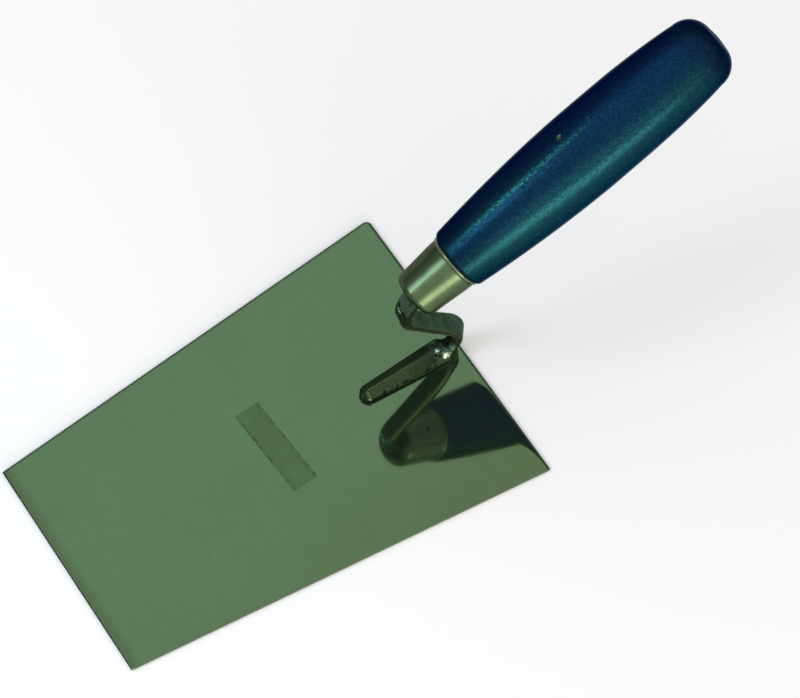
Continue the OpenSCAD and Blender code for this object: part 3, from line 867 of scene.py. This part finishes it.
# Weld: a rippled bead in each crevice beside the foot
WELD_RINGS = 110
BEAD_POINTS = 9
RIPPLE = 1.3
RIPPLE_SHARE = 0.16
UNEVEN_SHARE = 0.1
BULGE = 0.3
# Power by which the beads run out at their ends, and the smallest leg that can bulge
RUN_OUT = 8
LEAST_LEG = 0.01


def make_weld():
    points = []
    faces = []
    start = FOOT_FRONT_X - WELD_INSET
    end = HEEL.x + WELD_INSET
    for near in (True, False):
        rings = []
        for i in range(WELD_RINGS + 1):
            t = i / WELD_RINGS
            x = mix(start, end, t)
            station = (Vector((x, FOOT_Z)), pi, foot_bar(x))
            flat = land(station)[0 if near else 1]
            ripple = 1 - RIPPLE_SHARE * abs(sin(pi * x / RIPPLE))
            ripple += UNEVEN_SHARE * noise.noise(Vector((x, near, 0)))
            leg = WELD_LEG * ripple * sqrt(1 - (2 * t - 1) ** RUN_OUT)
            up = flat + Vector((0, leg)) if near else flat - Vector((leg, 0))
            foot = placed(station, flat)
            high = placed(station, up)
            out = foot + Vector((0, leg if near else -leg, 0))
            outward = (high - foot + out - foot).normalized() if leg > LEAST_LEG else Vector()
            ring = [foot]
            for k in range(BEAD_POINTS):
                u = k / (BEAD_POINTS - 1)
                ring.append(high.lerp(out, u) + outward * BULGE * leg * sin(pi * u))
            rings.append(ring)
        more, tiles = capped(rings)
        faces += [tuple(i + len(points) for i in tile) for tile in tiles]
        points += more
    piece("weld_beads", points, faces, "foot_weld", weld_material())


# Turned pieces: profiles are (radius, place along the axis behind the rim)
AXIS = Vector((-cos(TILT), 0, sin(TILT)))
LIFT = Vector((sin(TILT), 0, cos(TILT)))
ACROSS = Vector((0, 1, 0))


def turned_point(radius, along, turn):
    return RIM + AXIS * along + (LIFT * cos(turn) + ACROSS * sin(turn)) * radius


def lathe(profile, segments, radius_at=lambda radius, along, turn: radius):
    """Rings of a profile turned about the axis. radius_at may change a radius at a turn."""
    turns = [2 * pi * k / segments for k in range(segments)]
    return [[turned_point(radius_at(radius, along, a), along, a) for a in turns] for radius, along in profile]


def arc(radius, along, r, a0, a1, steps):
    """Points of a profile's rounded edge round a centre, from one turn in degrees to another."""
    turns = [radians(mix(a0, a1, k / steps)) for k in range(steps + 1)]
    return [(radius + r * cos(a), along + r * sin(a)) for a in turns]


def line(start, end, step):
    """Points of a profile from one point up to, but without, another."""
    count = max(1, round(hypot(end[0] - start[0], end[1] - start[1]) / step))
    return [(mix(start[0], end[0], k / count), mix(start[1], end[1], k / count)) for k in range(count)]


CONE = atan2((FERRULE_REAR_D - FERRULE_FRONT_D) / 2, FERRULE_L)
HOLE_R = edge_reach(BEND_BAR) + HOLE_GAP
LATHE_STEP = 0.35
FERRULE_SEGMENTS = 200
# Steps in the rounded lip, outside and inside, in the edge of the hole, in the groove and in the bead
LIP_STEPS = 16
INSIDE_STEPS = 10
HOLE_STEPS = 5
GROOVE_STEPS = 8
BEAD_STEPS = 12
# How far the bead turns in at its rear, and by what power
BEAD_FALL = 0.1
BEAD_POWER = 6
LEAST_LIP_R = 0.2


def ferrule_r(along):
    return mix(FERRULE_REAR_D, FERRULE_FRONT_D, -along / FERRULE_L) / 2


def make_ferrule():
    outside = [(HOLE_R + HOLE_EDGE_R, -FERRULE_L)]
    lip_along = FERRULE_LIP_R - FERRULE_L
    lip_r = ferrule_r(lip_along) - FERRULE_LIP_R / cos(CONE)
    cone_degrees = -CONE * 180 / pi
    outside += arc(lip_r, lip_along, FERRULE_LIP_R, -90, cone_degrees, LIP_STEPS)
    groove_from = -BEAD_W - GROOVE_W
    for radius, along in line(outside[-1], (ferrule_r(groove_from), groove_from), LATHE_STEP)[1:]:
        fall = max(0, 1 - (groove_from - along) / REAR_FALL_L)
        outside.append((radius - REAR_FALL * fall ** 2, along))
    for k in range(GROOVE_STEPS + 1):
        t = k / GROOVE_STEPS
        along = mix(groove_from, -BEAD_W, t)
        outside.append((ferrule_r(along) - REAR_FALL * (1 - t) - GROOVE_DEPTH * sin(pi * t), along))
    for k in range(1, BEAD_STEPS + 1):
        t = k / BEAD_STEPS
        along = -BEAD_W * (1 - t)
        outside.append((ferrule_r(along) + BEAD_H * sin(pi * t) - BEAD_FALL * t ** BEAD_POWER, along))
    wall = FERRULE_T / cos(CONE)
    inside_lip = max(LEAST_LIP_R, FERRULE_LIP_R - FERRULE_T)
    inside_along = FERRULE_T + inside_lip - FERRULE_L
    inside = [(ferrule_r(0) - wall, 0)]
    inside += arc(ferrule_r(inside_along) - wall - inside_lip / cos(CONE), inside_along, inside_lip,
                  cone_degrees, -90, INSIDE_STEPS)
    hole = arc(HOLE_R + HOLE_EDGE_R, HOLE_EDGE_R - FERRULE_L, HOLE_EDGE_R, 180, 270, HOLE_STEPS)[:-1]
    profile = outside + inside + [(HOLE_R, FERRULE_T - FERRULE_L)] + hole

    stake_reach = ferrule_r(-STAKE_BACK) + STAKE_R - STAKE_DEPTH
    stake = turned_point(stake_reach, -STAKE_BACK, STAKE_TURN)

    def staked(radius, along, turn):
        if radius < ferrule_r(along) - FERRULE_T / 2:
            return radius
        away = (turned_point(radius, along, turn) - stake).length
        return radius - max(0, STAKE_R - away)

    points, faces = bands(lathe(profile, FERRULE_SEGMENTS, staked), close=True)
    piece("drawn_ferrule", points, faces, "ferrule", ferrule_material())


# Handle
END_START = HANDLE_L - HANDLE_END_R
# Half the length over which the painted shade on the end sets in
END_FADE = 5
HANDLE_SEGMENTS = 240
HANDLE_STEP = 0.6
# Steps in the rounded shoulder, in the rounded end and from there to the middle of the end face
SHOULDER_STEPS = 8
END_STEPS = 28
FACE_STEPS = 6
# Colour of the lacquer as (turn about the axis from the top, colour), with painted highlights along the top
# and the near side, painted shade on the far side and a painted bluish reflection on the underside. The sides
# are alike all along, and the top differs between the front and the rear, with a span where it changes.
UNDERSIDE_REFLECTION = (0.0065, 0.016, 0.19)
FAR_SIDE_SHADED = [(-pi, UNDERSIDE_REFLECTION), (-2.4, (0.0055, 0.015, 0.17)), (-1.5, (0.0038, 0.01, 0.034)),
            (-0.75, (0.0035, 0.01, 0.036))]
NEAR_SIDE_LIT = [(1.15, (0.0065, 0.042, 0.06)), (1.6, (0.008, 0.033, 0.058)), (1.85, (0.012, 0.06, 0.12)),
             (2.2, (0.006, 0.024, 0.19)), (pi, UNDERSIDE_REFLECTION)]
FRONT_TOP_LIT = [(-0.35, (0.005, 0.02, 0.058)), (-0.15, (0.005, 0.03, 0.046)), (0.05, (0.0042, 0.023, 0.038)),
             (0.35, (0.0046, 0.027, 0.063)), (0.8, (0.0088, 0.054, 0.059))]
REAR_TOP_LIT = [(-0.35, (0.0045, 0.02, 0.07)), (-0.15, (0.0048, 0.029, 0.084)), (0.1, (0.005, 0.029, 0.076)),
            (0.35, (0.0046, 0.027, 0.066)), (0.8, (0.007, 0.045, 0.056))]
FRONT_LACQUER_AND_LIGHT = FAR_SIDE_SHADED + FRONT_TOP_LIT + NEAR_SIDE_LIT
REAR_LACQUER_AND_LIGHT = FAR_SIDE_SHADED + REAR_TOP_LIT + NEAR_SIDE_LIT
LACQUER_SPAN = (40, 85)
# A speckled worn line along the top, brightened as a painted highlight: its turn, its half width as a turn
# and the share of that which is worn and brightened most, the length over which it sets in, and the span in
# which it ends, from its last trace forwards
WEAR_TURN = -0.06
WEAR_HALF = 0.085
WEAR_CORE = 0.3
WEAR_START = 25
WEAR_END = (78, 60)
# Chips through the lacquer and dents in the wood, as (place, radius)
CHIPS = [((-126.0, -4.0, 126.0), 0.8), ((-126.6, -4.4, 126.2), 0.6), ((-136.9, -2.4, 132.8), 0.3)]
DENTS = [((-83.1, 1.6, 97.8), 0.6), ((-97.0, 2.4, 107.0), 0.4), ((-108.0, 1.0, 114.9), 0.4)]
CHIP_DEPTH = 0.25
DENT_DEPTH = 0.2
# Unevenness of the turned wood. All this sets in over a length that starts a little behind the rim.
TURNED_STEP = 14
TURNED_H = 0.05
WOOD_CLEAR = 0.3
WOOD_RISE = 2


def body_r(along):
    if along < BELLY_S:
        return mix(BELLY_D, HANDLE_FRONT_D, (1 - along / BELLY_S) ** FRONT_FALL) / 2
    return mix(BELLY_D, HANDLE_END_D, ((along - BELLY_S) / (END_START - BELLY_S)) ** END_FALL) / 2


def wood(point, normal):
    """Height of the chips, dents and turning marks at a place on the handle."""
    height = TURNED_H * noise.noise(point / TURNED_STEP)
    height -= sum(CHIP_DEPTH * bump_at(point, at, r) for at, r in CHIPS)
    height -= sum(DENT_DEPTH * bump_at(point, at, r) for at, r in DENTS)
    return height * smooth(((point - RIM).dot(AXIS) - WOOD_CLEAR) / WOOD_RISE)


def make_handle():
    spigot_front = SPIGOT_SHORT - FERRULE_L

    def spigot_r(along):
        return ferrule_r(along) - (FERRULE_T + HANDLE_FIT) / cos(CONE)

    tang_tip = TANG_L - FERRULE_L
    bore_tip_r = edge_reach(tang_bar(TANG_L)) + HANDLE_FIT
    bore_mouth_r = edge_reach(tang_bar(SPIGOT_SHORT)) + HANDLE_FIT
    bore_end = tang_tip + BORE_SPARE
    profile = [(bore_tip_r, bore_end), (bore_tip_r, tang_tip), (bore_mouth_r, spigot_front),
               (spigot_r(spigot_front), spigot_front), (spigot_r(0), 0)]
    profile += arc(body_r(SHOULDER_R) - SHOULDER_R, SHOULDER_R, SHOULDER_R, -90, 0, SHOULDER_STEPS)
    steps = round((END_START - SHOULDER_R) / HANDLE_STEP)
    for k in range(1, steps):
        along = mix(SHOULDER_R, END_START, k / steps)
        profile.append((body_r(along), along))
    profile += arc(body_r(END_START) - HANDLE_END_R, END_START, HANDLE_END_R, 0, 90, END_STEPS)
    face_r = profile[-1][0]
    for k in range(1, FACE_STEPS):
        r = face_r * (1 - k / FACE_STEPS)
        profile.append((r, HANDLE_L + HANDLE_DOME * (1 - (r / face_r) ** 2)))
    points, faces = capped(lathe(profile, HANDLE_SEGMENTS))
    points = displaced(points, faces, wood)
    piece("turned_handle", points, faces, "handle", handle_material(), sharp=50)


# Label: a worn film, its edge nibbled and its face slightly creased
LABEL_STEP = 0.35
# Depth of the nibbles, their size along the long edges and along the ends, and a bias towards more of them
LABEL_FRAY = 0.35
SIDE_NIBBLE = 1.7
END_NIBBLE = 1.4
MORE_NIBBLES = 0.1
# Height of the creases, and their size across the film and along it
CREASE_H = 0.03
CREASE_W = 2
CREASE_L = 5
# Slices of the noise, so that the three patterns differ
SIDE_SLICE = 3
END_SLICE = 7
CREASE_SLICE = 1


def make_label():
    across = round(LABEL_W / LABEL_STEP)
    length = round(LABEL_L / LABEL_STEP)
    turn = Matrix.Rotation(LABEL_TURN, 3, "Z")

    def fray(x, y):
        """How much of the half width and half length is left beside a place on the edge."""
        side = max(0, noise.noise(Vector((y / SIDE_NIBBLE, x > 0, SIDE_SLICE))) + MORE_NIBBLES)
        end = max(0, noise.noise(Vector((x / END_NIBBLE, y > 0, END_SLICE))) + MORE_NIBBLES)
        return 1 - LABEL_FRAY / LABEL_W * 2 * side, 1 - LABEL_FRAY / LABEL_L * 2 * end

    points = []
    for z in (0, LABEL_T):
        for i in range(length + 1):
            for k in range(across + 1):
                x = LABEL_W * (k / across - 0.5)
                y = LABEL_L * (i / length - 0.5)
                kx, ky = fray(x, y)
                wave = Vector((x / CREASE_W, y / CREASE_L, CREASE_SLICE))
                crease = CREASE_H * noise.noise(wave) if z else 0
                points.append(LABEL_AT + turn @ Vector((x * kx, y * ky, z + crease)))
    row = across + 1
    layer = row * (length + 1)
    faces = []
    for i in range(length):
        for k in range(across):
            a = i * row + k
            faces.append((a, a + row, a + row + 1, a + 1))
            faces.append((layer + a, layer + a + 1, layer + a + row + 1, layer + a + row))
    rim = list(range(across)) + [i * row + across for i in range(length)]
    rim += [length * row + k for k in range(across, 0, -1)] + [i * row for i in range(length, 0, -1)]
    for a, b in zip(rim, rim[1:] + rim[:1]):
        faces.append((a, b, layer + b, layer + a))
    piece("worn_label", points, faces, "label", label_material())


# Floor, just under the blade, with its side in metres
FLOOR_SIDE = 8
FLOOR_DROP = 0.05 * MM
FLOOR_SHADE = (0.94, 0.925, 0.905)


def make_floor():
    half = FLOOR_SIDE / 2
    corners = [(-half, -half, 0), (half, -half, 0), (half, half, 0), (-half, half, 0)]
    mesh = bpy.data.meshes.new("floor")
    mesh.from_pydata(corners, [], [(0, 1, 2, 3)])
    mat = Shader("floor", {"Base Color": (*FLOOR_SHADE, 1), "Roughness": 1, "Specular IOR Level": 0})
    mesh.materials.append(mat.material)
    floor = added("floor", mesh)
    floor.location.z = -FLOOR_DROP


# Light: a white ceiling that darkens towards the horizon, most of all on the side of -Y, and three soft boxes
WORLD_LEVEL = 1.02
SKY_SLANT = (0.15, 0.35, 1)
SKY = [(0.1, 0.28), (0.45, 0.66), (0.68, 0.97), (0.9, 1)]
# Metres from the ferrule to each soft box
BOX_AWAY = 1


def make_sky():
    world = bpy.data.worlds.new("studio")
    world.use_nodes = True
    bpy.context.scene.world = world
    tree = world.node_tree
    direction = tree.nodes.new("ShaderNodeTexCoord")
    height = tree.nodes.new("ShaderNodeVectorMath")
    height.operation = "DOT_PRODUCT"
    height.inputs[1].default_value = SKY_SLANT
    ceiling = tree.nodes.new("ShaderNodeValToRGB")
    set_stops(ceiling.color_ramp, SKY)
    background = tree.nodes["Background"]
    background.inputs["Strength"].default_value = WORLD_LEVEL
    tree.links.new(direction.outputs["Generated"], height.inputs[0])
    tree.links.new(height.outputs["Value"], ceiling.inputs["Fac"])
    tree.links.new(ceiling.outputs[0], background.inputs["Color"])


def soft_box(name, turn, elevation, width, tall, level, colour):
    """A soft box that faces the ferrule, seen from there at a turn from +X and an elevation in degrees."""
    a = radians(turn)
    e = radians(elevation)
    back = Vector((cos(a) * cos(e), sin(a) * cos(e), sin(e)))
    lamp = bpy.data.lights.new(name, "AREA")
    lamp.shape = "RECTANGLE"
    lamp.size = width
    lamp.size_y = tall
    lamp.energy = pi * width * tall * level
    lamp.color = colour
    made = added(name, lamp)
    made.location = RIM * MM + back * BOX_AWAY
    made.rotation_euler = back.to_track_quat("Z", "Y").to_euler()
    made.visible_camera = False


def make_lamps():
    soft_box("front_box", turn=-16.5, elevation=37, width=0.32, tall=0.34, level=6.2, colour=(0.76, 1, 1.24))
    soft_box("side_box", turn=73, elevation=5, width=0.75, tall=0.3, level=4.9, colour=(1.08, 1, 0.92))
    soft_box("strip_box", turn=60, elevation=30, width=0.7, tall=0.1, level=1.6, colour=(1.05, 1, 0.95))


# Camera at the photograph's angle
CAMERA_TURN = radians(139.651)
CAMERA_RISE = radians(64.392)
CAMERA_ROLL = radians(7.417)
CAMERA_AWAY = 1171.47
CAMERA_AIM = Vector((-69.341, -10.064, 0))
FOCAL_PIXELS = 2955.29
IMAGE_W = 800
SENSOR_W = 36


def make_camera():
    back = Vector((sin(CAMERA_TURN) * cos(CAMERA_RISE), -cos(CAMERA_TURN) * cos(CAMERA_RISE),
                   sin(CAMERA_RISE)))
    level_right = Vector((cos(CAMERA_TURN), sin(CAMERA_TURN), 0))
    level_up = back.cross(level_right)
    right = level_right * cos(CAMERA_ROLL) + level_up * sin(CAMERA_ROLL)
    up = level_up * cos(CAMERA_ROLL) - level_right * sin(CAMERA_ROLL)
    lens = bpy.data.cameras.new("camera")
    lens.sensor_fit = "HORIZONTAL"
    lens.sensor_width = SENSOR_W
    lens.lens = FOCAL_PIXELS * SENSOR_W / IMAGE_W
    camera = added("camera", lens)
    pose = Matrix((right, up, back)).transposed().to_4x4()
    pose.translation = (CAMERA_AIM + back * CAMERA_AWAY) * MM
    camera.matrix_world = pose
    bpy.context.scene.camera = camera


make_blade()
make_neck()
make_weld()
make_ferrule()
make_handle()
make_label()
make_floor()
make_sky()
make_lamps()
make_camera()
bpy.context.scene.view_settings.view_transform = "Standard"
